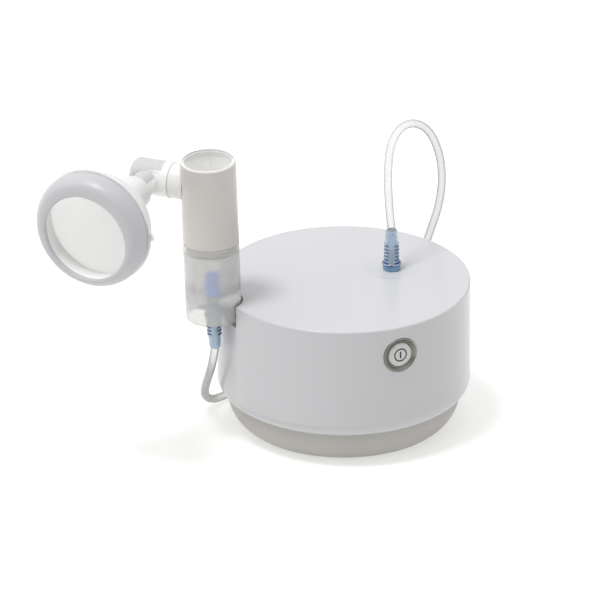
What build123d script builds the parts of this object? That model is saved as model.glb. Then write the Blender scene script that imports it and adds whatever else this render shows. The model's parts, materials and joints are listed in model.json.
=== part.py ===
from build123d import *
import math
import os

# Tabletop compressor nebulizer, millimetres. +Z up, origin at the centre of the
# drum's footprint on the table, power button facing -Y.

# ---- drum (main unit) ----
drum_radius = 80.0
drum_height = 95.4
shell_bottom = 21.5
shell_bottom_radius = 74.7
shell_roll_radius = 10.0
shell_wall = 2.5
base_top_radius = 73.6
base_foot_radius = 63.6
base_lift = 0.8
base_wall = 2.5
foot_circle = 50.0
foot_radius = 6.0
post_circle = 60.0
post_radius = 4.0

# ---- power button ----
button_height = 76.1
button_radius = 8.2
bezel_radius = 11.4
button_travel = 1.2

# ---- air outlet on the top ----
outlet_x, outlet_y = 34.2, 1.1
well_radius, well_depth = 17.0, 0.4

# ---- medicine kit ----
kit_angle = 173.7
kit_offset = 87.3
kit_foot_height = 84.0
kit_lean = 2.0
cup_radius = 17.8
cup_height = 53.0
kit_height = 108.4
scoop_radius = 18.7
port_height = 90.66
port_angle = 130.1
socket_radius = 11.5
spigot_radius = 9.9
elbow_distance = 38.6
elbow_end = 51.3

# ---- mask ----
mask_direction = 215.1
mask_drop = 3.0
mask_reach = 89.0
mask_neck_radius = 11.0
leg_radius = 8.5

# ---- compressor ----
motor_axis_z = 36.0
crank_throw = 3.0
crank_x = -24.0
piston_bore = 11.0

# ---- air tube ----
tube_radius = 2.65
coil_centre = (66.15, 122.02)
coil_inner, coil_outer, coil_height = 23.5, 34.6, 10.8

os.makedirs("parts", exist_ok=True)


def save(name, shape):
    export_step(shape, f"parts/{name}.step")


def group(*shapes):
    return Compound(children=list(shapes))


def polar(radius, degrees):
    a = math.radians(degrees)
    return radius * math.cos(a), radius * math.sin(a)


def lathe(points, plane=None):
    """A closed (radius, height) outline turned about the plane's own Z axis."""
    face = make_face(Polyline(*[(r, 0, z) for r, z in points], close=True).edges())
    solid = revolve(face, Axis.Z, 360)
    solid = solid.solids()[0]
    return solid.moved(plane.location) if plane is not None else solid


def lathe_edges(edges, plane=None):
    solid = revolve(make_face(edges), Axis.Z, 360).solids()[0]
    return solid.moved(plane.location) if plane is not None else solid


def rod(radius, z0, z1, plane=None, at=(0, 0)):
    """A round bar along the plane's Z from z0 to z1."""
    bar = Cylinder(radius, z1 - z0, align=(Align.CENTER, Align.CENTER, Align.MIN))
    bar = Pos(at[0], at[1], z0) * bar
    return bar.moved(plane.location) if plane is not None else bar


def ring(outer, inner, z0, z1, plane=None, at=(0, 0)):
    return rod(outer, z0, z1, plane, at) - rod(inner, z0 - 0.01, z1 + 0.01, plane, at)


def block(x0, x1, y0, y1, z0, z1, plane=None):
    b = Pos((x0 + x1) / 2, (y0 + y1) / 2, (z0 + z1) / 2) * Box(x1 - x0, y1 - y0, z1 - z0)
    return b.moved(plane.location) if plane is not None else b


def one(shape):
    """The shape's largest solid."""
    return max(shape.solids(), key=lambda s: s.volume)


# ------------------------------------------------------------------ frames
lean = math.radians(kit_lean)
ka = math.radians(kit_angle)
kit_up = Vector(math.sin(lean) * math.cos(ka), math.sin(lean) * math.sin(ka), math.cos(lean))
kx, ky = polar(kit_offset, kit_angle)
kit_foot = Vector(kx, ky, kit_foot_height)
pa = math.radians(port_angle)
port_tilt = math.atan(-math.tan(lean) * math.cos(ka - pa))
port_dir = Vector(
    math.cos(pa) * math.cos(port_tilt), math.sin(pa) * math.cos(port_tilt), math.sin(port_tilt)
)
KIT = Plane(origin=kit_foot, x_dir=port_dir, z_dir=kit_up)
PORT = Plane(origin=kit_foot + kit_up * port_height, x_dir=kit_up, z_dir=port_dir)
elbow_point = kit_foot + kit_up * port_height + port_dir * elbow_distance
ma, md = math.radians(mask_direction), math.radians(mask_drop)
mask_dir = Vector(math.cos(ma) * math.cos(md), math.sin(ma) * math.cos(md), -math.sin(md))
mask_side = Vector(-math.sin(ma), math.cos(ma), 0) * -1
LEG = Plane(origin=elbow_point, x_dir=mask_side, z_dir=mask_dir)
MASK = Plane(origin=elbow_point + mask_dir * mask_reach, x_dir=mask_side, z_dir=mask_dir)
BUTTON = Plane(origin=(0, 0, button_height), x_dir=(1, 0, 0), z_dir=(0, -1, 0))
MOTOR = Plane(origin=(0, 0, motor_axis_z), x_dir=(0, 1, 0), z_dir=(1, 0, 0))
JACK = Plane(origin=(24, 0, 34), x_dir=(-1, 0, 0), z_dir=(0, 1, 0))
filter_angle = 112.0
fx, fy = polar(1.0, filter_angle)
FILTER = Plane(origin=(0, 0, 52), x_dir=(-fy, fx, 0), z_dir=(fx, fy, 0))

# ------------------------------------------------------------------ top shell
roll_c = (drum_radius - shell_roll_radius, 0)
roll_angle = math.acos((shell_bottom_radius - roll_c[0]) / shell_roll_radius)
roll_z = shell_bottom + shell_roll_radius * math.sin(roll_angle)


def roll_point(radius, angle):
    return (roll_c[0] + radius * math.cos(angle), 0, roll_z - radius * math.sin(angle))


def drum_profile(grow, top):
    """Half outline of the shell's outside (grow 0) or its cavity (grow < 0)."""
    r = shell_roll_radius + grow
    low = roll_point(r, roll_angle)
    wall_x = drum_radius + grow
    e = [
        Line((0, 0, top), (wall_x - 0.9, 0, top)),
        ThreePointArc(
            (wall_x - 0.9, 0, top), (wall_x - 0.264, 0, top - 0.264), (wall_x, 0, top - 0.9)
        ),
        Line((wall_x, 0, top - 0.9), (wall_x, 0, roll_z)),
        ThreePointArc((wall_x, 0, roll_z), roll_point(r, roll_angle / 2), low),
    ]
    return e, low


outer_edges, outer_low = drum_profile(0.0, drum_height)
outer_edges += [
    Line(outer_low, (0, 0, outer_low[2])),
    Line((0, 0, outer_low[2]), (0, 0, drum_height)),
]
drum_solid = lathe_edges(outer_edges)
inner_top = drum_height - 2.6
inner_edges, inner_low = drum_profile(-shell_wall, inner_top)
inner_edges += [
    Line(inner_low, (72.9, 0, shell_bottom - 1)),
    Line((72.9, 0, shell_bottom - 1), (0, 0, shell_bottom - 1)),
    Line((0, 0, shell_bottom - 1), (0, 0, inner_top)),
]
cavity = lathe_edges(inner_edges)


def scoop(extra):
    """The kit's recess: a round channel with a flat floor just under the cup's foot."""
    r = scoop_radius + extra
    return lathe(
        [(0, -3.4 - extra), (r - 0.1, -3.4 - extra), (r, -3.3 - extra), (r, 30), (0, 30)], KIT
    )


shell = drum_solid - scoop(0)
cavity = cavity - scoop(shell_wall)
# screw posts stay inside the cavity
for a in (45, 135, 225, 315):
    cavity = cavity - rod(post_radius, 8.0, 100, at=polar(post_circle, a))
shell = one(shell - cavity)
posts = [rod(post_radius, 8.2, 24, at=polar(post_circle, a)) for a in (45, 135, 225, 315)]
for p in posts:
    shell = shell + p
for a in (45, 135, 225, 315):
    shell = shell - rod(1.5, 8.0, 24, at=polar(post_circle, a))
shell = shell - lathe([
    (0, drum_height - well_depth), (well_radius - 4.0, drum_height - well_depth),
    (well_radius, drum_height + 0.01), (well_radius, drum_height + 1), (0, drum_height + 1),
]).moved(Location((outlet_x, outlet_y, 0)))
shell = shell - rod(3.3, 90, 96, at=(outlet_x, outlet_y))
shell = shell - rod(11.6, 70, 90, BUTTON)
shell = shell - rod(6.6, 70, 90, JACK)
shell = shell - rod(10.6, 70, 90, FILTER)
peg_plane = Plane(
    origin=kit_foot - kit_up * 1.6, x_dir=kit_up, z_dir=Vector(-math.cos(ka), -math.sin(ka), 0)
)
shell = shell - rod(1.5, 15, 26, peg_plane)
save("top_shell", one(shell))

# ------------------------------------------------------------------ base tray
tray_out = [
    Line((0, 0, base_lift), (base_foot_radius, 0, base_lift)),
    ThreePointArc((base_foot_radius, 0, base_lift), (71.3, 0, 9.6), (base_top_radius, 0, 21.2)),
    Line((base_top_radius, 0, 21.2), (72.6, 0, 21.2)),
    Line((72.6, 0, 21.2), (72.4, 0, 24.2)),
    Line((72.4, 0, 24.2), (70.6, 0, 24.2)),
    Line((70.6, 0, 24.2), (70.6, 0, 19.0)),
    ThreePointArc((70.6, 0, 19.0), (68.6, 0, 10.6), (62.2, 0, base_lift + base_wall)),
    Line((62.2, 0, base_lift + base_wall), (0, 0, base_lift + base_wall)),
    Line((0, 0, base_lift + base_wall), (0, 0, base_lift)),
]
tray = lathe_edges(tray_out)
for a in (45, 135, 225, 315):
    c = polar(post_circle, a)
    tray = tray + rod(5.2, 3.0, 8.0, at=c)
for a in (45, 135, 225, 315):
    c = polar(post_circle, a)
    tray = tray - rod(3.4, 0, 4.2, at=c) - rod(1.7, 0, 9, at=c)
for a in (0, 90, 180, 270):
    tray = tray - rod(foot_radius + 0.1, 0, 2.0, at=polar(foot_circle, a))
for i in range(5):
    y = -16 + 8 * i
    tray = tray - block(-14, 14, y - 1.5, y + 1.5, 0, 4)
tray = one(tray)
save("base_tray", tray)

save(
    "rubber_feet",
    group(*[
        lathe([(0, 0), (5.2, 0), (5.9, 0.7), (5.9, 1.95), (0, 1.95)]).moved(
            Location((*polar(foot_circle, a), 0))
        )
        for a in (0, 90, 180, 270)
    ]),
)


def screw(head_r, head_z0, head_z1, shank_r, shank_z0, shank_z1, at, up=True):
    slot_z = head_z0 if up else head_z1 - 0.8
    s = rod(head_r, head_z0, head_z1, at=at) + rod(shank_r, shank_z0, shank_z1, at=at)
    s = s - (Pos(at[0], at[1], slot_z + 0.4) * Box(head_r * 1.3, 0.7, 0.82))
    s = s - (Pos(at[0], at[1], slot_z + 0.4) * Box(0.7, head_r * 1.3, 0.82))
    return one(s)


save(
    "case_screws",
    group(*[screw(3.1, 1.6, 4.15, 1.45, 4.0, 20, polar(post_circle, a)) for a in (45, 135, 225, 315)]),
)

# ------------------------------------------------------------------ power button
bezel = lathe(
    [(8.4, 74.0), (13.4, 74.0), (13.4, 75.2), (11.45, 75.2), (11.45, 79.9), (11.1, 80.3),
     (10.7, 80.3), (9.0, 78.6), (8.4, 78.5)],
    BUTTON,
)
save("button_bezel", bezel)
cap = lathe(
    [(0, 68.2), (2.5, 68.2), (2.5, 74.2), (6.6, 74.2), (6.6, 72.4), (8.15, 72.4), (8.15, 78.9),
     (7.5, 79.6), (6.0, 79.85), (0, 80.0)],
    BUTTON,
)
save("power_button", cap)
save(
    "button_dome",
    lathe([(5.2, 62.2), (6.2, 62.2), (6.2, 63.0), (4.0, 70.2), (4.0, 74.1), (3.2, 74.1),
           (3.2, 70.0), (5.2, 63.4)], BUTTON),
)
board = block(-15, 15, -15, 11, 60.4, 62.0, BUTTON)
board = board - rod(1.4, 60, 63, BUTTON, at=(-12, -12)) - rod(1.4, 60, 63, BUTTON, at=(12, -12))
board = one(board)
save("control_board", board)
sw = one(block(-3, 3, -3, 3, 62.05, 65.6, BUTTON) + rod(1.6, 65.6, 66.8, BUTTON))
save("tact_switch", sw)
# two ribs under the shell's top hold the board
rib = block(-17.5, -15.3, -15, 16.4, 58.5, 64, BUTTON) - block(-15.6, -15.0, -16, 12, 60.3, 62.1, BUTTON)
rib2 = block(15.3, 17.5, -15, 16.4, 58.5, 64, BUTTON)
save("board_rails", group(one(rib), one(rib2)))

# ------------------------------------------------------------------ rear inlet and filter
jack = lathe([(0.95, 64), (6.4, 64), (6.4, 76.0), (6.0, 76.4), (3.2, 76.4), (2.85, 76.0), (2.85, 66.0),
              (0.95, 66.0)], JACK)
save("dc_inlet", jack)
save("dc_pin", lathe([(0, 62.5), (0.9, 62.5), (0.9, 74.6), (0.4, 75.4), (0, 75.4)], JACK))
save("dc_inlet_nut", ring(8.5, 6.5, 66.8, 69.2, JACK))
housing = lathe([(0, 62), (3.0, 62), (3.0, 64.0), (12.0, 64.0), (12.0, 76.3), (10.4, 76.3),
                 (10.4, 66.0), (0, 66.0)], FILTER)
housing = one(housing - rod(2.0, 60, 67, FILTER))
save("filter_housing", housing)
save("filter_felt", rod(9.9, 66.1, 70.4, FILTER))
cover = lathe([(0, 80.6), (12.4, 80.6), (12.4, 81.6), (11.6, 82.4), (0, 82.4)], FILTER)
cover = cover + ring(10.2, 8.4, 71.0, 80.8, FILTER)
for i in range(5):
    w = math.sqrt(7.2**2 - (3.0 * (i - 2)) ** 2) - 0.5
    cover = cover - block(-w, w, 3.0 * (i - 2) - 0.75, 3.0 * (i - 2) + 0.75, 80, 83, FILTER)
save("filter_cover", one(cover))

# ------------------------------------------------------------------ outlet nipple and hose
nip = rod(3.1, 79.0, 108.0, at=(outlet_x, outlet_y)) + rod(7.0, 89.6, 92.7, at=(outlet_x, outlet_y))
X82 = Plane(origin=(0, outlet_y, 82.0), x_dir=(0, 1, 0), z_dir=(1, 0, 0))
nip = nip + rod(2.5, 22.0, outlet_x, X82)
nip = nip - rod(1.5, 82.0, 110, at=(outlet_x, outlet_y)) - rod(1.5, 20, outlet_x, X82)
nip = nip + ring(3.1, 1.5, 104.5, 105.5, at=(outlet_x, outlet_y))
save("outlet_nipple", one(nip))
save("outlet_hose", ring(3.8, 2.55, -8.5, 29.5, X82))

# ------------------------------------------------------------------ compressor
can = ring(17.0, 15.6, -8.0, 42.0, MOTOR) + rod(17.0, -8.0, -6.4, MOTOR) + rod(17.0, 40.4, 42.0, MOTOR)
can = can + rod(6.0, -7.0, -2.6, MOTOR) + rod(6.0, 37.0, 44.0, MOTOR)
can = can - rod(3.0, -9, 45, MOTOR) - rod(4.6, -9, -4.0, MOTOR) - rod(4.6, 40.0, 45, MOTOR)
save("motor_can", one(can))
save(
    "motor_bearings",
    group(ring(4.55, 2.04, -7.4, -4.1, MOTOR), ring(4.55, 2.04, 40.2, 43.5, MOTOR)),
)
rotor = rod(1.98, -19.6, 55.0, MOTOR) + rod(13.0, 0.0, 34.0, MOTOR)
for i in range(6):
    a = 60 * i
    rotor = rotor - (
        Rot(0, 0, a) * Pos(11.6, 0, 17) * Box(4, 2.2, 36)
    ).moved(MOTOR.location)
save("motor_rotor", one(rotor))
wheel = ring(10.0, 2.0, -19.5, -12.2, MOTOR)
wheel = wheel - block(3.0, 12.0, -12, 12, -17.0, -11, MOTOR.rotated((0, 0, 0)))
PIN = Plane(origin=(0, 0, motor_axis_z - crank_throw), x_dir=(0, 1, 0), z_dir=(1, 0, 0))
wheel = wheel + rod(2.0, -28.0, -19.4, PIN) - rod(2.0, -19.7, -11, MOTOR)
save("crank_wheel", one(wheel))
hub = ring(5.0, 2.0, 46.5, 55.0, MOTOR)
for i in range(7):
    blade = (
        Rot(0, 0, 360 / 7 * i) * Pos(12.6, 0, 50.5) * Rot(32, 0, 0) * Box(16.4, 1.4, 8.0)
    ).moved(MOTOR.location)
    hub = hub + blade
hub = hub - rod(2.0, 40, 60, MOTOR)
save("cooling_fan", one(hub))

RINGP = Plane(origin=(0, 0, motor_axis_z - crank_throw), x_dir=(0, 1, 0), z_dir=(1, 0, 0))
prod = ring(11.5, 8.5, -27.0, -21.5, RINGP)
prod = prod + block(-27.0, -21.5, -3.0, 3.0, motor_axis_z - crank_throw + 10.0, 61)
piston = lathe([(0, 60), (10.6, 60), (10.6, 66.9), (9.4, 66.9), (9.4, 69.1), (10.6, 69.1),
                (10.6, 70.3), (0, 70.3)]).moved(Location((crank_x, 0, 0)))
prod = prod + piston
save("piston_rod", one(prod))
save("piston_seal", ring(10.95, 9.45, 67.0, 69.0, at=(crank_x, 0)))
cyl = ring(13.6, piston_bore, 58.0, 77.0, at=(crank_x, 0))
for z in (61.0, 65.0, 69.0, 73.0):
    cyl = cyl + ring(16.0, 13.5, z, z + 1.4, at=(crank_x, 0))
save("pump_cylinder", one(cyl))
head = rod(15.0, 77.0, 86.0, at=(crank_x, 0)) - rod(9.0, 79.0, 84.6, at=(crank_x, 0))
head = head - rod(2.0, 76.5, 79.5, at=(crank_x + 5, 0)) - rod(2.0, 76.5, 79.5, at=(crank_x - 5, 0))
head = head + rod(2.5, crank_x + 14.0, -3.0, X82) - rod(1.5, crank_x + 6, 0, X82)
save("pump_head", one(head))
frame_ = block(-42, 46, -22, 22, 9.0, 12.0)
frame_ = frame_ + block(-11.3, -8.1, -20, 20, 12.0, 58.0) - rod(17.5, -8.05, 60, MOTOR)
frame_ = frame_ - rod(6.2, -15, -5, MOTOR)
frame_ = frame_ + block(-42, -8.1, -17, 17, 54.0, 57.95)
frame_ = frame_ - rod(9.0, 50, 60, at=(crank_x, 0))
frame_ = frame_ + block(-42, -39.5, -17, 17, 12.0, 54.0)
for x in (-36, 38):
    for y in (-17, 17):
        frame_ = frame_ - rod(1.8, 5, 15, at=(x, y))
# saddle under the motor's tail
frame_ = frame_ + (block(30, 34, -13, 13, 12.0, 26.0) - rod(17.05, 20, 45, MOTOR))
save("pump_frame", one(frame_))
save(
    "rubber_mounts",
    group(*[
        lathe([(1.8, 3.35), (5.0, 3.35), (5.0, 4.6), (3.8, 5.4), (3.8, 7.0), (5.0, 7.8),
               (5.0, 8.95), (1.8, 8.95)]).moved(Location((x, y, 0)))
        for x in (-36, 38)
        for y in (-17, 17)
    ]),
)
save(
    "frame_screws",
    group(*[
        screw(3.2, 12.02, 14.2, 1.6, 4.0, 12.2, (x, y), up=False)
        for x in (-36, 38)
        for y in (-17, 17)
    ]),
)

# ------------------------------------------------------------------ kit cradle
ledge = ring(18.5, 9.6, -3.05, -0.1, KIT)
lip = ring(15.3, 13.4, -0.4, 4.6, KIT)
toward = Vector(-math.cos(ka), -math.sin(ka), 0)
WEDGE = Plane(origin=kit_foot, x_dir=toward, z_dir=(0, 0, 1))
cradle = ledge & block(9.2, 22.0, -5.0, 5.0, -8, 8, WEDGE)
cradle = cradle + (lip & block(9.2, 22.0, -5.0, 5.0, -8, 8, WEDGE))
cradle = one(cradle) + rod(1.4, 16.0, 22.5, peg_plane)
save("kit_cradle", one(cradle))

# ------------------------------------------------------------------ medicine cup
cup = lathe(
    [(15.9, 0), (17.2, 0), (17.85, 0.8), (cup_radius, cup_height), (16.1, cup_height), (16.1, 19.5),
     (4.6, 13.8), (3.0, 13.8), (1.9, 26.0), (0.5, 26.0), (0.5, 24.6), (1.6, 14.0), (1.6, -5.0),
     (2.6, -5.0), (3.1, -3.5), (3.1, 11.6), (15.9, 11.6)],
    KIT,
)
save("medicine_cup", cup)
jet = lathe([(3.5, 14.6), (4.75, 14.6), (4.75, 28.0), (4.0, 29.0), (0, 29.0), (0, 27.6), (2.4, 27.6)], KIT)
jet = jet - block(-6, -1.2, -6, 6, 20.5, 26.6, KIT)
save("jet_insert", one(jet))

utube = lathe(
    [(14.3, 46.0), (15.95, 46.0), (15.95, 48.3), (15.35, 48.3), (15.35, 49.7), (15.95, 49.7),
     (15.95, cup_height + 0.1), (cup_radius, cup_height + 0.1), (17.6, 107.4), (16.9, kit_height),
     (16.2, kit_height), (16.2, 60.0), (14.3, 57.0)],
    KIT,
)
utube = utube - rod(8.2, 10.0, 40.0, PORT)
save("upper_tube", one(utube))
port = rod(socket_radius - 0.1, 14.0, 24.2, PORT) + rod(spigot_radius, 14.0, 36.3, PORT)
port = port - rod(8.2, 10.0, 40.0, PORT) - lathe([(0, 60), (17.8, 60), (17.63, 107.4), (0, 107.4)], KIT)
save("kit_port", one(port))
save("cup_seal_ring", ring(16.05, 15.38, 48.4, 49.6, KIT))
funnel = lathe(
    [(16.15, 102.0), (16.15, 107.7), (15.3, 107.7), (15.3, 104.6), (9.2, 68.0), (9.2, 58.0),
     (10.4, 58.0), (10.4, 68.0)],
    KIT,
)
save("inlet_funnel", funnel)

# ------------------------------------------------------------------ elbow
elbow = rod(socket_radius, 24.5, elbow_end, PORT)
elbow = fillet(elbow.edges().sort_by(Axis(elbow_point, port_dir))[-1], 3.4)
elbow = elbow + rod(11.85, 24.5, 26.2, PORT) + rod(11.7, 28.4, 29.3, PORT)
elbow = elbow + rod(leg_radius, 2.0, 32.5, LEG)
elbow = elbow - rod(spigot_radius + 0.05, 20, 37.0, PORT) - rod(9.6, 36.0, 49.6, PORT)
elbow = elbow - rod(6.9, 0.0, 40.0, LEG)
save("elbow", one(elbow))

# ------------------------------------------------------------------ mask
m_edges = [
    Line((34.0, 0, -15.4), (38.6, 0, -15.4)),
    Line((38.6, 0, -15.4), (38.6, 0, -17.2)),
    Line((38.6, 0, -17.2), (36.8, 0, -17.4)),
    Spline([(36.8, 0, -17.4), (35.4, 0, -22.5), (31.5, 0, -29.5), (24.5, 0, -38.0), (16.5, 0, -46.2),
            (11.0, 0, -54.5)]),
    Line((11.0, 0, -54.5), (11.0, 0, -67.0)),
    Line((11.0, 0, -67.0), (leg_radius + 0.05, 0, -67.0)),
    Line((leg_radius + 0.05, 0, -67.0), (leg_radius + 0.05, 0, -53.0)),
    Spline([(leg_radius + 0.05, 0, -53.0), (14.8, 0, -45.0), (23.2, 0, -36.7), (30.1, 0, -28.3),
            (33.4, 0, -22.0), (34.0, 0, -15.4)]),
]
mshell = lathe_edges(m_edges, MASK)
for side in (-1, 1):
    tab = Pos(side * 41.3, 0, -16.3) * Box(7.4, 9.0, 1.7)
    tab = tab - Pos(side * 42.1, 0, -16.3) * Box(1.8, 5.0, 4)
    mshell = mshell + (tab.moved(MASK.location) - rod(38.0, -20, -10, MASK))
save("mask_shell", one(mshell))
cushion = lathe_edges(
    [
        Line((30.5, 0, -15.3), (37.2, 0, -15.3)),
        Spline([(37.2, 0, -15.3), (38.1, 0, -11.5), (37.7, 0, -7.5), (36.0, 0, -3.6), (33.4, 0, -1.0),
                (30.8, 0, -0.1)]),
        Spline([(30.8, 0, -0.1), (29.2, 0, -0.35), (28.3, 0, -1.6), (28.5, 0, -6.0), (29.6, 0, -11.0),
                (30.5, 0, -15.3)]),
    ],
    MASK,
)
save("mask_cushion", cushion)

# ------------------------------------------------------------------ connectors and tube
OUT = Plane(origin=(outlet_x, outlet_y, drum_height - well_depth), x_dir=(1, 0, 0), z_dir=(0, 0, 1))


def connector(plane, socket_depth, length):
    """Push-on connector: socket at z 0, tube end at z length, ribbed grip between."""
    pts = [(3.15, 0), (5.45, 0), (5.45, 3.5), (6.25, 3.8), (6.25, 4.6), (5.0, 4.9)]
    z = 5.2
    while z < 15.5:
        pts += [(4.55, z), (5.0, z + 0.35), (5.0, z + 1.3), (4.55, z + 1.65)]
        z += 2.35
    pts += [(4.4, 17.5), (3.65, length), (1.9, length), (1.9, socket_depth), (3.15, socket_depth)]
    return lathe(pts, plane)


connector_length = 27.0
save("outlet_connector", connector(OUT, 14.5, connector_length))
IN = Plane(origin=kit_foot + kit_up * 5.5, x_dir=port_dir * 1, z_dir=kit_up * -1)
save("cup_connector", connector(IN, 12.0, connector_length))

loop_points = [
    (34.2, 1.1, drum_height - well_depth + connector_length), (33.2, 2.3, 135.6), (33.2, 4.2, 150.2),
    (34.8, 7.3, 163.8), (37.8, 11.4, 173.8), (42.7, 14.5, 181.6), (48.8, 16.9, 186.7),
    (56.6, 18.0, 187.8), (64.4, 18.5, 183.9), (70.6, 19.2, 176.3), (75.3, 20.1, 165.6),
    (79.5, 22.0, 152.5), (82.0, 25.1, 138.1), (82.8, 28.7, 124.6), (82.3, 32.8, 111.8),
    (81.1, 37.4, 100.0), (79.9, 42.2, 88.0), (79.0, 47.9, 74.0), (77.9, 54.6, 57.0),
    (74.9, 63.3, 39.0), (69.6, 73.8, 21.5), (62.1, 84.7, 8.2), (52.1, 93.6, 2.7),
]
tail = kit_foot + kit_up * (5.5 - connector_length - 0.6)
return_points = [
    (52.1, 93.6, 8.15), (39.3, 99.4, 8.0), (25.6, 101.1, 6.5), (10.9, 98.4, 4.0), (-4.1, 91.9, 2.8),
    (-17.7, 82.5, 2.7), (-30.8, 71.7, 2.7), (-43.6, 61.8, 2.7), (-56.5, 54.8, 2.7), (-69.2, 49.4, 4.5),
    (-77.8, 41.9, 13.0), (-81.8, 31.7, 25.0), (-84.8, 20.4, 38.0), (-86.4, 12.0, 50.3),
    (tail.X, tail.Y, tail.Z),
]


def hose_path(name, points):
    v = [Vector(*p) for p in points]
    radii, length = [], 0.0
    for i in range(1, len(v) - 1):
        a, b = v[i] - v[i - 1], v[i + 1] - v[i]
        half = math.radians(a.get_angle(b)) / 2
        radii.append(0.45 * min(a.length, b.length) / math.tan(half))
    path = FilletPolyline(*points, radius=radii)
    length = path.length
    profile = Plane(origin=v[0], z_dir=(v[1] - v[0]).normalized()) * Circle(tube_radius)
    solid = sweep(profile, path=path)
    print(name, "radii", [round(r, 1) for r in radii])
    print(name, "length", round(length, 1), "volume ratio",
          round(solid.volume / (length * math.pi * tube_radius**2), 4))
    return one(solid)


save("air_tube_loop", hose_path("air_tube_loop", loop_points))
save("air_tube_return", hose_path("air_tube_return", return_points))
save("air_tube_coil", ring(coil_outer, coil_inner, 0.0, coil_height, at=coil_centre))

print("kit foot", kit_foot, "kit up", kit_up)
print("port centre", PORT.origin, "port dir", port_dir)
print("elbow point", elbow_point, "mask dir", mask_dir, "mask centre", MASK.origin)
print("mask side", mask_side, "filter dir", fx, fy)
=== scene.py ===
import bpy
import json
import math
import numpy as np
from mathutils import Matrix, Vector


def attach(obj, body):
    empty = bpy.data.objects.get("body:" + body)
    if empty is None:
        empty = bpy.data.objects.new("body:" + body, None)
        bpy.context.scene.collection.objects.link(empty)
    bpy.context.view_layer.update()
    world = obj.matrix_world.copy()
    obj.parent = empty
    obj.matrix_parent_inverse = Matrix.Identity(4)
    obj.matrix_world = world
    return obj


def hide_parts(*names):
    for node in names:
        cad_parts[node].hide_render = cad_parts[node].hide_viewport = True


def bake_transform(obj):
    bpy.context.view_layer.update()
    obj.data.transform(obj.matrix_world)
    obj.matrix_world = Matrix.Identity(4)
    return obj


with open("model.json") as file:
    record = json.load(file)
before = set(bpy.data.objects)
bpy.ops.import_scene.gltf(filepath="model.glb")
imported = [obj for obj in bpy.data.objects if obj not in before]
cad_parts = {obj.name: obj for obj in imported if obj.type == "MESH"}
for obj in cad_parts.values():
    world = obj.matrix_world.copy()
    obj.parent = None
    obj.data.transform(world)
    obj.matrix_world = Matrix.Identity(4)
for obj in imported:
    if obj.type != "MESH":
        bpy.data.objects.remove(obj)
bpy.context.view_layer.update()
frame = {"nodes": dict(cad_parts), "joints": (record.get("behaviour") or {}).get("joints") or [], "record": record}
nodes = frame["nodes"]
joints = {j["name"]: j for j in frame["joints"]}
scene = bpy.context.scene
MM = 0.001

# ------------------------------------------------------------------ frames
kit_up = Vector(joints["kit_lift"]["axis"]).normalized()
kit_foot = Vector(joints["cap_twist"]["pos_m"]) - kit_up * 0.053
port_dir = Vector(joints["elbow_swivel"]["axis"]).normalized()
port_at = Vector(joints["elbow_swivel"]["pos_m"])
mask_dir = Vector(joints["mask_swivel"]["axis"]).normalized()
elbow_at = Vector(joints["mask_swivel"]["pos_m"])
mask_at = elbow_at + mask_dir * 0.089
mask_side = Vector((mask_dir.y, -mask_dir.x, 0)).normalized()


def axes(origin, x, z):
    """A frame with its Z along z and its X as near x as it can be, working in millimetres."""
    z = Vector(z).normalized()
    y = z.cross(Vector(x)).normalized()
    x = y.cross(z).normalized()
    m = Matrix((x, y, z)).transposed().to_4x4()
    m.translation = Vector(origin)
    return m @ Matrix.Scale(MM, 4)


KIT = axes(kit_foot, port_dir, kit_up)
PORT = axes(port_at, kit_up, port_dir)
LEG = axes(elbow_at, mask_side, mask_dir)
MASK = axes(mask_at, mask_side, mask_dir)
BUTTON = axes((0, 0, 0.0761), (1, 0, 0), (0, -1, 0))
OUTLET = (34.2, 1.1, 95.0)


# ------------------------------------------------------------------ mesh helpers
def put(obj):
    scene.collection.objects.link(obj)
    return obj


def smooth(me, angle=None):
    me.polygons.foreach_set("use_smooth", [True] * len(me.polygons))
    if angle is not None:
        me.set_sharp_from_angle(angle=math.radians(angle))
    me.update()


def mesh_object(name, verts, faces, angle=None):
    me = bpy.data.meshes.new(name)
    me.from_pydata([tuple(v) for v in verts], [], faces)
    me.validate()
    smooth(me, angle)
    return put(bpy.data.objects.new(name, me))


def soft(points, cut=0.3, steps=4, closed=True, keep=()):
    """A (radius, height) outline with its corners rounded, and a held line beside each."""
    n = len(points)
    out = []
    for i, p in enumerate(points):
        p = Vector(p).to_2d()
        if not closed and i in (0, n - 1):
            out.append(tuple(p))
            continue
        a = Vector(points[i - 1]).to_2d()
        b = Vector(points[(i + 1) % n]).to_2d()
        u, w = a - p, b - p
        c = cut[i] if isinstance(cut, (list, tuple)) else cut
        c = min(c, 0.42 * u.length, 0.42 * w.length)
        turn = math.pi - u.angle(w)
        if c < 0.01 or turn < 0.03 or i in keep:
            out.append(tuple(p))
            continue
        u.normalize(), w.normalize()
        s, e = p + u * c, p + w * c
        hold = min(0.12 * c, 0.05)
        out.append(tuple(s + u * hold))
        for k in range(steps + 1):
            t = k / steps
            q = s * (1 - t) ** 2 + p * (2 * t * (1 - t)) + e * t * t
            out.append(tuple(q))
        out.append(tuple(e + w * hold))
    return out


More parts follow.
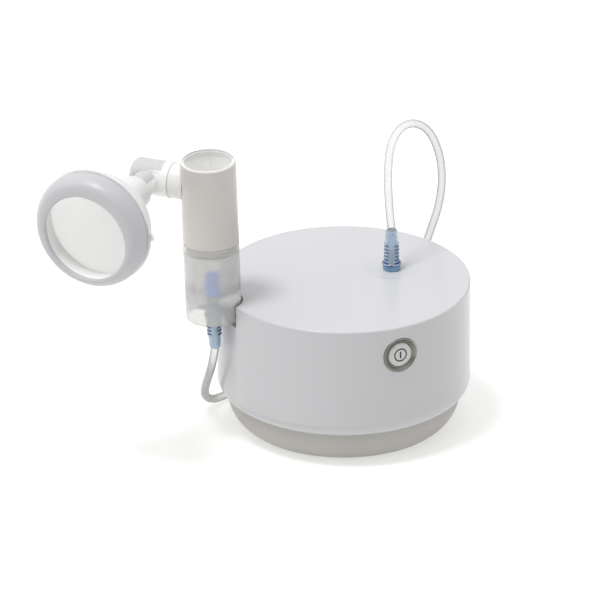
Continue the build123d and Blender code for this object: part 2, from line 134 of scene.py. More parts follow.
def lathe(name, outline, m, seg=144, closed=True, shape=None, angle=None):
    """Turns a (radius, height) outline about m's Z. shape(r, z, angle) may change the radius."""
    verts, rows, faces = [], [], []
    for r, z in outline:
        if r < 1e-6:
            rows.append([len(verts)])
            verts.append(m @ Vector((0, 0, z)))
            continue
        row = []
        for k in range(seg):
            a = 2 * math.pi * k / seg
            rr, zz = (r, z) if shape is None else shape(r, z, a)
            row.append(len(verts))
            verts.append(m @ Vector((rr * math.cos(a), rr * math.sin(a), zz)))
        rows.append(row)
    pairs = list(zip(rows, rows[1:]))
    if closed:
        pairs.append((rows[-1], rows[0]))
    for a, b in pairs:
        if len(a) == 1 and len(b) == 1:
            continue
        for k in range(seg):
            j = (k + 1) % seg
            if len(a) == 1:
                faces.append((a[0], b[j], b[k]))
            elif len(b) == 1:
                faces.append((a[k], a[j], b[0]))
            else:
                faces.append((a[k], a[j], b[j], b[k]))
    obj = mesh_object(name, verts, faces, angle)
    fix_normals(obj)
    return obj


def fix_normals(obj):
    import bmesh

    bm = bmesh.new()
    bm.from_mesh(obj.data)
    bmesh.ops.recalc_face_normals(bm, faces=bm.faces)
    bm.to_mesh(obj.data)
    bm.free()
    obj.data.update()


def tube(name, pts, outer, inner=None, seg=20):
    """A hose of round section along pts, in metres. With inner it is a hollow pipe."""
    P = [Vector(p) for p in pts]
    clean = [P[0]]
    for p in P[1:]:
        if (p - clean[-1]).length > 1e-6:
            clean.append(p)
    P = clean
    n = len(P)
    T = [(P[min(i + 1, n - 1)] - P[max(i - 1, 0)]).normalized() for i in range(n)]
    ref = Vector((0, 0, 1)) if abs(T[0].z) < 0.9 else Vector((1, 0, 0))
    u = (ref - T[0] * ref.dot(T[0])).normalized()
    radii = [outer] if inner is None else [outer, inner]
    verts, faces = [], []
    layers = [[] for _ in radii]
    for i in range(n):
        if i:
            q = T[i - 1].rotation_difference(T[i])
            u = (q @ u)
            u = (u - T[i] * u.dot(T[i])).normalized()
        w = T[i].cross(u)
        for k, r in enumerate(radii):
            row = []
            for s in range(seg):
                a = 2 * math.pi * s / seg
                row.append(len(verts))
                verts.append(P[i] + (u * math.cos(a) + w * math.sin(a)) * r)
            layers[k].append(row)
    for k, rows in enumerate(layers):
        for a, b in zip(rows, rows[1:]):
            for s in range(seg):
                j = (s + 1) % seg
                f = (a[s], a[j], b[j], b[s])
                faces.append(f if k == 0 else f[::-1])
    if inner is None:
        faces.append(tuple(reversed(layers[0][0])))
        faces.append(tuple(layers[0][-1]))
    else:
        for s in range(seg):
            j = (s + 1) % seg
            faces.append((layers[0][0][j], layers[0][0][s], layers[1][0][s], layers[1][0][j]))
            faces.append((layers[0][-1][s], layers[0][-1][j], layers[1][-1][j], layers[1][-1][s]))
    obj = mesh_object(name, verts, faces, 50)
    fix_normals(obj)
    return obj


# ------------------------------------------------------------------ materials
def lin(c):
    return tuple(
        (v / 255 / 12.92) if v / 255 <= 0.04045 else ((v / 255 + 0.055) / 1.055) ** 2.4 for v in c
    )


def plastic(name, colour, rough=0.35, tint=0.03, grain=1600.0, bump=0.3, depth=0.000003,
            spread=0.05, specular=0.5, transmission=0.0, ior=1.46, subsurface=0.0, reach=0.003,
            coat=0.0, metallic=0.0, sheen=0.0, mottle=None, glow=0.0):
    """Moulded plastic: a fine grain in the surface, a faint drift of tone and gloss."""
    mat = bpy.data.materials.new(name)
    mat.use_nodes = True
    t = mat.node_tree
    b = t.nodes["Principled BSDF"]
    c = lin(colour)
    b.inputs["IOR"].default_value = ior
    b.inputs["Specular IOR Level"].default_value = specular
    b.inputs["Transmission Weight"].default_value = transmission
    b.inputs["Subsurface Weight"].default_value = subsurface
    if subsurface:
        b.inputs["Subsurface Radius"].default_value = (1.0, 0.98, 0.95)
        b.inputs["Subsurface Scale"].default_value = reach
    b.inputs["Coat Weight"].default_value = coat
    b.inputs["Coat Roughness"].default_value = 0.12
    b.inputs["Metallic"].default_value = metallic
    b.inputs["Sheen Weight"].default_value = sheen
    # glow is painted light: the plastic gives off light of its own colour, though it is no lamp
    b.inputs["Emission Color"].default_value = (*c, 1)
    b.inputs["Emission Strength"].default_value = glow
    co = t.nodes.new("ShaderNodeTexCoord")
    drift = t.nodes.new("ShaderNodeTexNoise")
    drift.inputs["Scale"].default_value = 28.0 if mottle is None else mottle
    drift.inputs["Detail"].default_value = 3.0
    t.links.new(co.outputs["Object"], drift.inputs["Vector"])
    ramp = t.nodes.new("ShaderNodeValToRGB")
    ramp.color_ramp.elements[0].position = 0.3
    ramp.color_ramp.elements[1].position = 0.7
    lo = tuple(v * (1 - tint) for v in c)
    hi = tuple(min(1.0, v * (1 + tint)) for v in c)
    ramp.color_ramp.elements[0].color = (*lo, 1)
    ramp.color_ramp.elements[1].color = (*hi, 1)
    t.links.new(drift.outputs["Fac"], ramp.inputs["Fac"])
    t.links.new(ramp.outputs["Color"], b.inputs["Base Color"])
    fine = t.nodes.new("ShaderNodeTexNoise")
    fine.inputs["Scale"].default_value = grain
    fine.inputs["Detail"].default_value = 2.0
    t.links.new(co.outputs["Object"], fine.inputs["Vector"])
    rr = t.nodes.new("ShaderNodeMapRange")
    rr.inputs["From Min"].default_value = 0.3
    rr.inputs["From Max"].default_value = 0.7
    rr.inputs["To Min"].default_value = max(0.02, rough - spread)
    rr.inputs["To Max"].default_value = rough + spread
    t.links.new(fine.outputs["Fac"], rr.inputs["Value"])
    t.links.new(rr.outputs["Result"], b.inputs["Roughness"])
    if bump:
        bp = t.nodes.new("ShaderNodeBump")
        bp.inputs["Strength"].default_value = bump
        bp.inputs["Distance"].default_value = depth
        t.links.new(fine.outputs["Fac"], bp.inputs["Height"])
        t.links.new(bp.outputs["Normal"], b.inputs["Normal"])
    return mat


M = {
    "housing": plastic("housing_plastic", (190, 190, 193), rough=0.22, spread=0.02, tint=0.006, bump=0.2, depth=0.000002),
    "base": plastic("base_plastic", (175, 173, 169), rough=0.5, spread=0.05, tint=0.02, bump=0.6, depth=0.00001),
    "trim": plastic("trim_plastic", (190, 190, 191), rough=0.4, tint=0.015),
    "bezel": plastic("bezel_plastic", (130, 129, 123), rough=0.28, spread=0.01, tint=0.01, bump=0.0, metallic=0.7),
    "button": plastic("button_plastic", (197, 197, 196), rough=0.34, tint=0.01),
    "ink": plastic("printed_ink", (36, 38, 38), rough=0.5, tint=0.06),
    "dark_plastic": plastic("dark_plastic", (38, 38, 40), rough=0.42, tint=0.08, bump=0.6, depth=0.00001),
    "rubber": plastic("foot_rubber", (84, 84, 86), rough=0.75, tint=0.06, bump=0.8, depth=0.00002, sheen=0.1),
    "steel": plastic("plated_steel", (176, 176, 180), rough=0.3, metallic=1.0, tint=0.05),
    "board": plastic("circuit_board", (30, 92, 56), rough=0.45, tint=0.1),
    "aluminium": plastic("cast_aluminium", (190, 190, 192), rough=0.42, metallic=1.0, tint=0.05, bump=0.8,
                         depth=0.00003, grain=500),
    "nylon": plastic("natural_nylon", (226, 224, 214), rough=0.45, tint=0.02, subsurface=0.1),
    "felt": plastic("filter_felt", (236, 236, 232), rough=0.95, tint=0.06, bump=0.9, depth=0.0003, sheen=0.5),
    "kit_white": plastic("kit_polypropylene", (195, 191, 188), rough=0.26, spread=0.02, tint=0.008, bump=0.2, depth=0.000002),
    # the funnel's extra whiteness and glow are painted light: the light that falls into the bore from above
    "kit_liner_painted_light": plastic("funnel_painted_light", (247, 246, 243), rough=0.35, spread=0.04, tint=0.006,
                         subsurface=1.0, reach=0.008, glow=0.13),
    # a lighter copy of the kit plastic: a lighter tone on the port and the spigot in the cup, and painted light on
    # the kit's upward-facing top rim
    "port_tone_and_rim_light": plastic("port_tone_and_rim_painted_light", (222, 221, 219), rough=0.3, spread=0.03, tint=0.006,
                          subsurface=0.5, reach=0.003),
    "frosted": plastic("frosted_polypropylene", (233, 233, 231), rough=0.14, spread=0.03, tint=0.008,
                       transmission=0.66, ior=1.25),
    "frosted_elbow": plastic("frosted_elbow_plastic", (197, 197, 197), rough=0.26, spread=0.04, tint=0.006,
                             transmission=0.08, ior=1.4, subsurface=1.0, reach=0.003),
    # a lighter, faintly glowing copy of the elbow plastic: painted light on the sleeve end, which falls in shade
    # beside the kit
    "elbow_sleeve": plastic("frosted_elbow_sleeve_painted_light", (232, 232, 231), rough=0.26, spread=0.04, tint=0.006,
                            transmission=0.06, ior=1.4, subsurface=1.0, reach=0.003, glow=0.05),
    # painted light: a lighter, glowing skin on the rim's inner wall, lifting the shade inside the opening
    "rim_inner_painted_light": plastic("mask_rim_inner_painted_light", (228, 228, 227), rough=0.4, spread=0.04, tint=0.006,
                          subsurface=0.6, reach=0.004, glow=0.1),
    "mask_outside": plastic("frosted_mask_outside", (226, 226, 226), rough=0.3, spread=0.04, tint=0.006,
                            transmission=0.15, ior=1.36, subsurface=1.0, reach=0.004),
    # the inside of the mask bowl: a whiter, glowing copy of the mask plastic, painted light
    "mask_shell": plastic("frosted_mask_inside_painted_light", (247, 247, 246), rough=0.32, spread=0.04, tint=0.006,
                          transmission=0.15, ior=1.36, subsurface=1.0, reach=0.01, glow=0.08),
    "soft_rim": plastic("mask_rim_elastomer", (183, 182, 186), rough=0.38, spread=0.04, tint=0.008,
                        bump=0.5, depth=0.000008, sheen=0.15, subsurface=0.12),
    "seal": plastic("white_silicone", (240, 240, 238), rough=0.4, tint=0.01),
    # the blue insert glows: painted light that makes it brighter and bluer behind the frosted cup
    "blue_insert": plastic("blue_insert_plastic_painted_glow", (0, 104, 215), rough=0.25, tint=0.03, glow=0.5),
    "connector": plastic("connector_soft_vinyl", (212, 228, 243), rough=0.12, spread=0.04, tint=0.03,
                         transmission=0.62, ior=1.36),
    "connector_base": plastic("connector_base_vinyl", (150, 192, 228), rough=0.16, spread=0.04, tint=0.03,
                              transmission=0.4, ior=1.36),
    # painted shade: dark blue laid into the rib grooves and the creases round the collar
    "connector_groove_shade": plastic("connector_groove_painted_shade", (34, 66, 128), rough=0.3, tint=0.08),
    "tube": plastic("clear_hose_vinyl", (170, 171, 171), rough=0.22, spread=0.01, tint=0.003, specular=0.35,
                    ior=1.45, bump=0.0),
}

# the hose is thin clear vinyl: it shows its wall at the edges and lets the rest through
_t = M["tube"].node_tree
_lw = _t.nodes.new("ShaderNodeLayerWeight")
_lw.inputs["Blend"].default_value = 0.5
_clear = _t.nodes.new("ShaderNodeValToRGB")
_clear.color_ramp.elements[0].position = 0.1
_clear.color_ramp.elements[0].color = (0.2, 0.2, 0.2, 1)
_clear.color_ramp.elements[1].position = 0.66
_clear.color_ramp.elements[1].color = (0.8, 0.8, 0.8, 1)
_mid = _clear.color_ramp.elements.new(0.32)
_mid.color = (0.3, 0.3, 0.3, 1)
_t.links.new(_lw.outputs["Facing"], _clear.inputs["Fac"])
_t.links.new(_clear.outputs["Color"], _t.nodes["Principled BSDF"].inputs["Alpha"])

slot_look = {
    "housing": "housing", "base": "base", "trim": "trim", "button": "button", "dark_plastic": "dark_plastic",
    "rubber": "rubber", "steel": "steel", "board": "board", "aluminium": "aluminium", "nylon": "nylon",
    "felt": "felt", "frosted": "frosted", "kit_white": "kit_white", "soft_rim": "soft_rim",
    "blue_insert": "blue_insert", "connector": "connector", "tube": "tube",
}


def wear(obj, look):
    obj.data.materials.clear()
    obj.data.materials.append(M[look])
    return obj


for part in frame["record"]["subparts"]:
    o = nodes[part["node"]]
    wear(o, slot_look[part["material_slot"]])
    smooth(o.data, 32)


def dress(obj, look, slot_name, body, *replaced):
    """Gives a new piece its look, its body and the CAD nodes it stands for."""
    wear(obj, look)
    if replaced:
        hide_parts(*replaced)
    if body:
        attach(obj, body)
    return obj


# ------------------------------------------------------------------ air tube
loop_points = [
    (34.2, 1.1, 122.0), (33.2, 2.3, 135.6), (33.2, 4.2, 150.2),
    (34.8, 7.3, 163.8), (37.8, 11.4, 172.6), (42.7, 14.5, 179.6), (48.8, 16.9, 184.0),
    (56.6, 18.0, 185.0), (64.4, 18.5, 181.4), (70.6, 19.2, 174.6), (75.3, 20.1, 165.0),
    (79.5, 22.0, 152.5), (82.0, 25.1, 138.1), (82.8, 28.7, 124.6), (82.3, 32.8, 111.8),
    (81.1, 37.4, 100.0), (79.9, 42.2, 88.0), (79.0, 47.9, 74.0), (77.9, 54.6, 57.0),
    (74.9, 63.3, 39.0), (69.6, 73.8, 21.5), (62.1, 84.7, 8.2), (52.1, 93.6, 2.7),
]
tail = (kit_foot + kit_up * (0.0055 - 0.027 - 0.0006)) / MM
return_points = [
    (52.1, 93.6, 8.15), (39.3, 99.4, 8.0), (25.6, 101.1, 6.5), (10.9, 98.4, 4.0), (-4.1, 91.9, 2.8),
    (-17.7, 82.5, 2.7), (-30.8, 71.7, 2.7), (-43.6, 61.8, 2.7), (-56.5, 54.8, 2.7), (-69.2, 49.4, 4.5),
    (-77.8, 41.9, 13.0), (-81.8, 31.7, 25.0), (-84.8, 20.4, 38.0), (-86.4, 12.0, 50.3), tuple(tail),
]
coil_x, coil_y = 66.15, 122.02
coil_start = math.atan2(93.6 - coil_y, 52.1 - coil_x)


def ease(t):
    t = max(0.0, min(1.0, t))
    return t * t * (3 - 2 * t)


def coil_turns():
    """Three turns laid clockwise: two on the table, the last one on top."""
    per, out = 18, []
    for k in range(1, 3 * per):
        turn = k / per
        a = coil_start - 2 * math.pi * turn
        if turn < 1:
            r, z = 32.0 - 5.5 * ease((turn - 0.8) / 0.2), 2.7
        elif turn < 2:
            t = turn - 1
            r, z = 26.5 + 1.2 * ease((t - 0.6) / 0.4), 2.7 + 5.45 * ease((t - 0.55) / 0.25)
        else:
            t = turn - 2
            r, z = 27.7 + 4.2 * ease(t / 0.9), 8.15
        out.append((coil_x + r * math.cos(a), coil_y + r * math.sin(a), z))
    return out


route = loop_points + coil_turns() + return_points
line = bpy.data.curves.new("air_tube_line", "CURVE")
line.dimensions = "3D"
line.resolution_u = 8
spline = line.splines.new("NURBS")
spline.points.add(len(route) - 1)
for p, q in zip(spline.points, route):
    p.co = (q[0] * MM, q[1] * MM, q[2] * MM, 1)
spline.order_u = 3
spline.use_endpoint_u = True
line_object = put(bpy.data.objects.new("air_tube_line", line))
bpy.context.view_layer.update()
line_mesh = bpy.data.meshes.new_from_object(line_object)
path = [v.co.copy() for v in line_mesh.vertices]
bpy.data.objects.remove(line_object)

hose = tube("air_tube", path, 0.00265, seg=32)
wear(hose, "tube")
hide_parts("air_tube_loop", "air_tube_return", "air_tube_coil")
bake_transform(hose)


# ------------------------------------------------------------------ push-on connectors
def connector(name, m, panel):
    """Soft vinyl connector: a base ring, a thin collar, ribbed sides with a plain panel between,
    and a tapered sleeve round the hose. panel is the angle of the plain panel."""
    zs = []
    z = 0.0
    while z <= 27.0:
        zs.append(z)
        z += 0.15
    ribs = [6.2 + 2.35 * i for i in range(6)]

    def outer(z, a):
        off = abs((a - panel + math.pi / 2) % math.pi - math.pi / 2)
        side = ease((off - math.radians(22)) / math.radians(9))
        if z < 3.5:
            return 5.45 - 0.35 * ease((0.5 - z) / 0.5)
        if z < 4.9:
            h = 1 - abs((z - 4.2) / 0.7) ** 3
            notch = 1 - 0.75 * (1 - ease((off - math.radians(6)) / math.radians(8)))
            return 5.0 + 1.25 * h * notch
        r = 4.55 - 0.25 * ease((z - 6) / 10) - 0.65 * ease((z - 15) / 12)
        for c in ribs:
            d = z - c
            if -0.9 < d < 0.9:
                r += side * 0.55 * (1 - (d / 0.9) ** 2) * (1.0 if d > 0 else 1 - 0.4 * (d / 0.9) ** 2)
        if z < 5.4:
            r += 0.4 * ease((5.4 - z) / 0.5)
        if z > 26.4:
            r -= 0.3 * ease((z - 26.4) / 0.6)
        return r

    seg = 120
    verts, faces, mats = [], [], []
    rows = []
    for z in zs:
        row = []
        for k in range(seg):
            a = 2 * math.pi * k / seg
            r = outer(z, a)
            row.append(len(verts))
            verts.append(m @ Vector((r * math.cos(a), r * math.sin(a), z)))
        rows.append(row)
    bore = [(2.8, 27.0), (2.72, 26.6), (2.72, 14.8), (3.12, 14.5), (3.12, 0.5), (3.6, 0.0)]
    for r, z in bore:
        row = []
        for k in range(seg):
            a = 2 * math.pi * k / seg
            row.append(len(verts))
            verts.append(m @ Vector((r * math.cos(a), r * math.sin(a), z)))
        rows.append(row)
    for i, (a, b) in enumerate(zip(rows, rows[1:] + rows[:1])):
        z = zs[i] if i < len(zs) else 30
        for k in range(seg):
            j = (k + 1) % seg
            faces.append((a[k], a[j], b[j], b[k]))
            ang = 2 * math.pi * (k + 0.5) / seg
            off = abs((ang - panel + math.pi / 2) % math.pi - math.pi / 2)
            dark = 0
            # dark = 1 is painted shade in the rib grooves and the creases round the collar; 2 is the base ring
            if i < len(zs) - 1:
                zc = z + 0.075
                if off > math.radians(27) and 4.9 < zc < 18.8:
                    near = min(abs(zc - (c - 1.05)) for c in ribs)
                    dark = 1 if near < 0.42 else 0
                if zc < 3.45:
                    dark = 2
                if 3.45 < zc < 4.3 or 4.75 < zc < 5.0:
                    dark = 1
                if off < math.radians(2.2) and 5.0 < zc < 13.5:
                    dark = 0
            mats.append(dark)
    obj = mesh_object(name, verts, faces, 60)
    fix_normals(obj)
    obj.data.materials.append(M["connector"])
    # second slot: painted shade for the grooves and collar creases
    obj.data.materials.append(M["connector_groove_shade"])
    obj.data.materials.append(M["connector_base"])
    obj.data.polygons.foreach_set("material_index", mats)
    return obj


view_angle = math.radians(243.6)
upper_connector = connector(
    "outlet_push_connector", axes(Vector(OUTLET) * MM, (1, 0, 0), (0, 0, 1)), view_angle
)
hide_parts("outlet_connector")
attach(upper_connector, "root")
lower_frame = axes(kit_foot + kit_up * 0.0055, (1, 0, 0), -kit_up)
lower_connector = connector("cup_push_connector", lower_frame, -view_angle)
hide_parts("cup_connector")
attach(lower_connector, "cup")

# ------------------------------------------------------------------ power button
bezel = lathe(
    "button_ring",
    soft([(8.4, 74.0), (13.4, 74.0), (13.4, 75.2), (11.45, 75.2), (11.45, 80.1), (11.0, 80.4),
          (10.5, 80.35), (9.1, 78.7), (8.4, 78.6)], cut=0.25),
    BUTTON @ Matrix.Identity(4), seg=160,
)
dress(bezel, "bezel", "trim", "root", "button_bezel")
cap = lathe(
    "button_cap",
    [(0, 68.2), (2.5, 68.2), (2.5, 74.2), (6.6, 74.2), (6.6, 72.4), (8.1, 72.4)]
    + [(8.1, 78.4), (8.08, 78.75), (7.95, 79.15), (7.7, 79.42), (7.3, 79.62), (6.6, 79.76),
       (5.2, 79.9), (3.0, 79.98), (0, 80.0)],
    BUTTON, seg=160, closed=False, angle=40,
)
dress(cap, "button", "button", "button", "power_button")


def cap_height(r):
    return float(np.interp(r, [0, 3.0, 5.2, 6.6, 7.3], [80.0, 79.98, 79.9, 79.76, 79.62]))


def ring_print(name, r0, r1, seg=96):
    out = [(r0, cap_height(r0) - 0.05), (r1, cap_height(r1) - 0.05), (r1, cap_height(r1) + 0.035),
           (r0, cap_height(r0) + 0.035)]
    return lathe(name, out, BUTTON, seg=seg, angle=40)


circle_print = ring_print("power_symbol_ring", 3.62, 4.5)
dress(circle_print, "ink", "button", "button")
vs, fs = [], []
w, h0, h1 = 0.52, -2.35, 2.45
pts = []
for k in range(9):
    a = math.pi * k / 8
    pts.append((w * math.cos(a), h1 - w + w * math.sin(a)))
for k in range(9):
    a = math.pi + math.pi * k / 8
    pts.append((w * math.cos(a), h0 + w + w * math.sin(a)))
n = len(pts)
flip = BUTTON @ Vector((0, 1, 0)) - BUTTON @ Vector((0, 0, 0))
up_sign = 1 if flip.z > 0 else -1
for dz in (-0.06, 0.035):
    for x, y in pts:
        vs.append(BUTTON @ Vector((x, y * up_sign, cap_height(math.hypot(x, y)) + dz)))
fs.append(tuple(range(n)))
fs.append(tuple(range(n, 2 * n)))
for k in range(n):
    j = (k + 1) % n
    fs.append((k, j, n + j, n + k))
bar = mesh_object("power_symbol_bar", vs, fs, 30)
fix_normals(bar)
dress(bar, "ink", "button", "button")

# ------------------------------------------------------------------ medicine cup
cup_outline = (
    [(16.1, 0.15), (16.9, 0.0), (17.35, 0.25), (17.6, 0.8), (17.66, 6.0), (17.7, 14.0), (17.74, 24.0),
     (17.77, 34.0), (17.78, 44.6)]
    + [(17.78, 45.2), (17.62, 45.45), (17.62, 45.75), (17.78, 46.0), (17.78, 47.4), (17.62, 47.65),
       (17.62, 47.95), (17.78, 48.2), (17.8, 52.4), (17.72, 52.8), (17.5, 52.95)]
    + [(16.3, 52.95), (16.1, 52.8), (16.1, 30.0), (16.1, 20.6), (15.8, 19.4), (4.9, 13.95), (4.4, 13.8),
       (3.2, 13.8), (3.0, 14.2), (1.9, 25.6), (1.6, 26.0), (0.8, 26.0), (0.5, 25.8), (0.5, 24.6),
       (1.6, 14.0), (1.6, -5.0), (2.5, -5.0), (3.05, -3.5), (3.1, 11.2), (3.5, 11.6), (15.5, 11.6), (15.9, 11.2),
       (15.9, 0.4)]
)
cup = lathe("medicine_cup_body", cup_outline, KIT, seg=160, angle=35)
dress(cup, "frosted", "frosted", "cup", "medicine_cup")

# ------------------------------------------------------------------ mask
cushion_profile = [
    (33.85, -17.2), (33.9, -16.9), (33.95, -15.2), (36.4, -15.2), (37.0, -14.9), (37.4, -14.2), (37.9, -12.4), (38.1, -10.4), (38.0, -8.4),
    (37.55, -6.4), (36.8, -4.6), (35.8, -3.0), (34.6, -1.7), (33.4, -0.85), (32.4, -0.45), (31.2, -0.25),
    (29.9, -0.2), (29.1, -0.3), (28.6, -0.6), (28.35, -1.1), (28.35, -1.8), (28.6, -2.4), (29.2, -4.0),
    (30.5, -7.0), (32.0, -11.0), (33.1, -15.2), (33.35, -17.0), (33.55, -17.25),
]


def lowered(r, z, a):
    """The opening sits a little low in the rim, so the rim is thicker over the nose."""
    w = ease((33.5 - r) / 4.5) * (1 - ease((-5 - z) / 9))
    return r + 2.2 * w * math.sin(a), z



rim = lathe("mask_soft_rim", cushion_profile, MASK, seg=192, shape=lowered)
dress(rim, "soft_rim", "soft_rim", "mask", "mask_cushion")
# the inner wall of the rim wears the painted-light skin
rim.data.materials.append(M["rim_inner_painted_light"])
inner_from = len(cushion_profile) - 6
rim.data.polygons.foreach_set(
    "material_index", [1 if i // 192 >= inner_from else 0 for i in range(len(rim.data.polygons))]
)
shell_profile = [
    (34.1, -15.4), (38.2, -15.4), (38.55, -15.6), (38.6, -16.0), (38.6, -16.9), (38.35, -17.25),
    (37.3, -17.5), (36.9, -17.9), (36.5, -19.3), (35.7, -21.9), (34.3, -25.1), (32.2, -28.6), (29.4, -32.2),
    (26.0, -36.2), (22.2, -40.3), (18.3, -44.6), (14.9, -48.6), (12.6, -52.0), (11.3, -55.2), (11.0, -58.0),
    (11.0, -66.4), (10.8, -66.9), (10.4, -67.0), (8.9, -67.0), (8.6, -66.8), (8.55, -66.4), (8.55, -54.0),
    (9.2, -52.0), (11.6, -48.6), (15.2, -44.6), (19.6, -40.4), (23.4, -36.4), (26.9, -32.4), (29.8, -28.6),
    (31.9, -25.1), (33.2, -21.9), (33.9, -18.9),
]
bowl = lathe("mask_bowl", shell_profile, MASK, seg=192, angle=50)
dress(bowl, "mask_shell", "frosted", "mask", "mask_shell")
# the inside faces keep the whiter, glowing plastic as painted light; the outside faces wear the plain one
bowl.data.materials.append(M["mask_outside"])
outside_to = shell_profile.index((8.6, -66.8))
bowl.data.polygons.foreach_set(
    "material_index", [1 if i // 192 < outside_to else 0 for i in range(len(bowl.data.polygons))]
)


def strap_lug(name, side):
    """A small loop for a strap, at the edge of the mask's flange."""
    vs, fs = [], []
    ring_o, ring_i = [], []
    steps = 48
    for k in range(steps):
        a = 2 * math.pi * k / steps
        # rounded outline of the lug, and a small oval hole in it
        ox = 2.3 * math.copysign(abs(math.cos(a)) ** 0.6, math.cos(a))
        oy = 38.9 + 1.9 * math.copysign(abs(math.sin(a)) ** 0.7, math.sin(a))
        ix = 1.0 * math.cos(a)
        iy = 39.5 + 0.55 * math.sin(a)
        ring_o.append((oy * side, ox * side))
        ring_i.append((iy * side, ix * side))
    for z, grow in ((-17.15, 0), (-15.75, 0)):
        for x, y in ring_o:
            vs.append(MASK @ Vector((x, y, z)))
        for x, y in ring_i:
            vs.append(MASK @ Vector((x, y, z)))
    n = steps
    for k in range(n):
        j = (k + 1) % n
        fs.append((k, j, n + j, n + k))
        fs.append((2 * n + k, 3 * n + k, 3 * n + j, 2 * n + j))
        fs.append((k, 2 * n + k, 2 * n + j, j))
        fs.append((n + k, n + j, 3 * n + j, 3 * n + k))
    o = mesh_object(name, vs, fs, 40)
    fix_normals(o)
    bevel = o.modifiers.new("edge", "BEVEL")
    bevel.width, bevel.segments, bevel.limit_method = 0.0003, 2, "ANGLE"
    return o


for side, label in ((1, "right"), (-1, "left")):
    lug = strap_lug("strap_lug_" + label, side)
    dress(lug, "mask_outside", "frosted", "mask")

wear(nodes["elbow"], "frosted_elbow")
# the sleeve end of the elbow wears painted light: the lighter, glowing copy of the elbow plastic
sleeve = nodes["elbow"]
sleeve.data.materials.append(M["elbow_sleeve"])
for face in sleeve.data.polygons:
    p = face.center - port_at
    along = p.dot(port_dir)
    if along < 0.0335 and (p - port_dir * along).length > 0.0095:
        face.material_index = 1
# the inlet funnel wears painted light: whitened and glowing for the light falling into it
wear(nodes["inlet_funnel"], "kit_liner_painted_light")
# faces given the lighter plastic: painted light on the top rim, lighter tone on the side port and the spigot down
# in the cup
upper = nodes["upper_tube"]
upper.data.materials.append(M["port_tone_and_rim_light"])
for face in upper.data.polygons:
    p = face.center - kit_foot
    high = p.dot(kit_up)
    out = (p - kit_up * high).length
    if high > 0.1079 or high < 0.0529 or (out > 0.01795 and high < 0.105):
        face.material_index = 1
if "kit_port" in nodes:
    wear(nodes["kit_port"], "port_tone_and_rim_light")
wear(nodes["cup_seal_ring"], "seal")

# ------------------------------------------------------------------ stage, light and camera
ground = mesh_object(
    "studio_floor",
    [(-6, -6, -0.0002), (6, -6, -0.0002), (6, 6, -0.0002), (-6, 6, -0.0002)],
    [(0, 1, 2, 3)],
)
floor_mat = bpy.data.materials.new("studio_floor_paint")
floor_mat.use_nodes = True
fb = floor_mat.node_tree.nodes["Principled BSDF"]
fb.inputs["Base Color"].default_value = (0.53, 0.529, 0.522, 1)
fb.inputs["Emission Color"].default_value = (1.0, 0.998, 0.98, 1)
fb.inputs["Emission Strength"].default_value = 0.5
fb.inputs["Roughness"].default_value = 0.9
fb.inputs["Specular IOR Level"].default_value = 0.0
ground.data.materials.append(floor_mat)

camera_azimuth, camera_elevation = math.radians(-26.4), math.radians(25.14)
back = Vector((
    math.sin(camera_azimuth) * math.cos(camera_elevation),
    -math.cos(camera_azimuth) * math.cos(camera_elevation),
    math.sin(camera_elevation),
))

world = bpy.data.worlds.new("studio")
scene.world = world
world.use_nodes = True
wt = world.node_tree
bg = wt.nodes["Background"]
tc = wt.nodes.new("ShaderNodeTexCoord")
front = Vector((back.x, back.y, 0)).normalized()


def world_value(kind, *inputs):
    """A maths node of the sky; each input is a number or another node's output."""
    node = wt.nodes.new("ShaderNodeMath")
    node.operation = kind
    for socket, value in zip(node.inputs, inputs):
        if isinstance(value, (int, float)):
            socket.default_value = value
        else:
            wt.links.new(value, socket)
    return node.outputs[0]


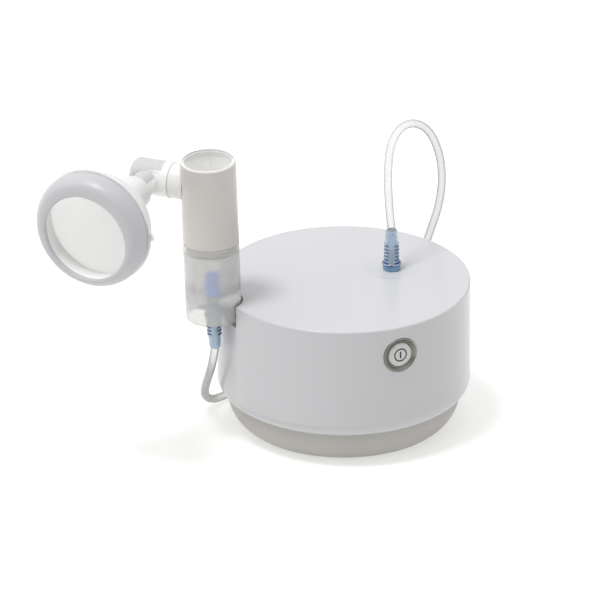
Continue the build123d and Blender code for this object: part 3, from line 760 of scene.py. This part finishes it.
split = wt.nodes.new("ShaderNodeSeparateXYZ")
wt.links.new(tc.outputs["Generated"], split.inputs[0])
dot = wt.nodes.new("ShaderNodeVectorMath")
dot.operation = "DOT_PRODUCT"
dot.inputs[1].default_value = (front.x, front.y, 0.0)
wt.links.new(tc.outputs["Generated"], dot.inputs[0])
height = world_value("MAXIMUM", split.outputs["Z"], 0.0)
sky = world_value("MULTIPLY_ADD", height, 0.84, 0.5)
facing = world_value("MAXIMUM", dot.outputs["Value"], 0.0)
dim = world_value("MULTIPLY_ADD", world_value("MULTIPLY", facing, facing), -0.74, 1.0)
across = wt.nodes.new("ShaderNodeVectorMath")
across.operation = "DOT_PRODUCT"
across.inputs[1].default_value = (-back.y, back.x, 0.0)
wt.links.new(tc.outputs["Generated"], across.inputs[0])
lean = world_value("MULTIPLY_ADD", across.outputs["Value"], -0.26, 1.0)
room = world_value("MULTIPLY", world_value("MULTIPLY", sky, dim), lean)
lp = wt.nodes.new("ShaderNodeLightPath")
mix = wt.nodes.new("ShaderNodeMix")
mix.data_type = "FLOAT"
wt.links.new(lp.outputs["Is Camera Ray"], mix.inputs["Factor"])
wt.links.new(room, mix.inputs["A"])
mix.inputs["B"].default_value = 1.2
wt.links.new(mix.outputs["Result"], bg.inputs["Strength"])
bg.inputs["Color"].default_value = (1.0, 1.0, 1.0, 1)


def sun(name, direction, strength, angle, colour=(1, 1, 1)):
    """A soft lamp that shines from the given direction."""
    d = bpy.data.lights.new(name, "SUN")
    d.energy = strength
    d.angle = math.radians(angle)
    d.color = colour
    o = put(bpy.data.objects.new(name, d))
    o.rotation_euler = Vector(direction).to_track_quat("Z", "Y").to_euler()
    return o


right = Vector((-back.y, back.x, 0)).normalized()  # to the right in the main view
sun("key_lamp", -right * 0.27 + front * 0.16 + Vector((0, 0, 1.0)), 1.65, 13)

camera = bpy.data.cameras.new("camera")
camera_object = put(bpy.data.objects.new("camera", camera))
distance = 14.0
camera.sensor_width = 36.0
camera.lens = 1583.4 * distance * 36.0 / 600.0
camera.clip_start, camera.clip_end = 1.0, 60.0
target = Vector((-0.02480, 0.01231, 0.08068))
camera_object.location = target + back * distance
camera_object.rotation_mode = "QUATERNION"
camera_object.rotation_quaternion = (-back).to_track_quat("-Z", "Y")
scene.camera = camera_object
scene.view_settings.view_transform = "Standard"
scene.view_settings.look = "None"
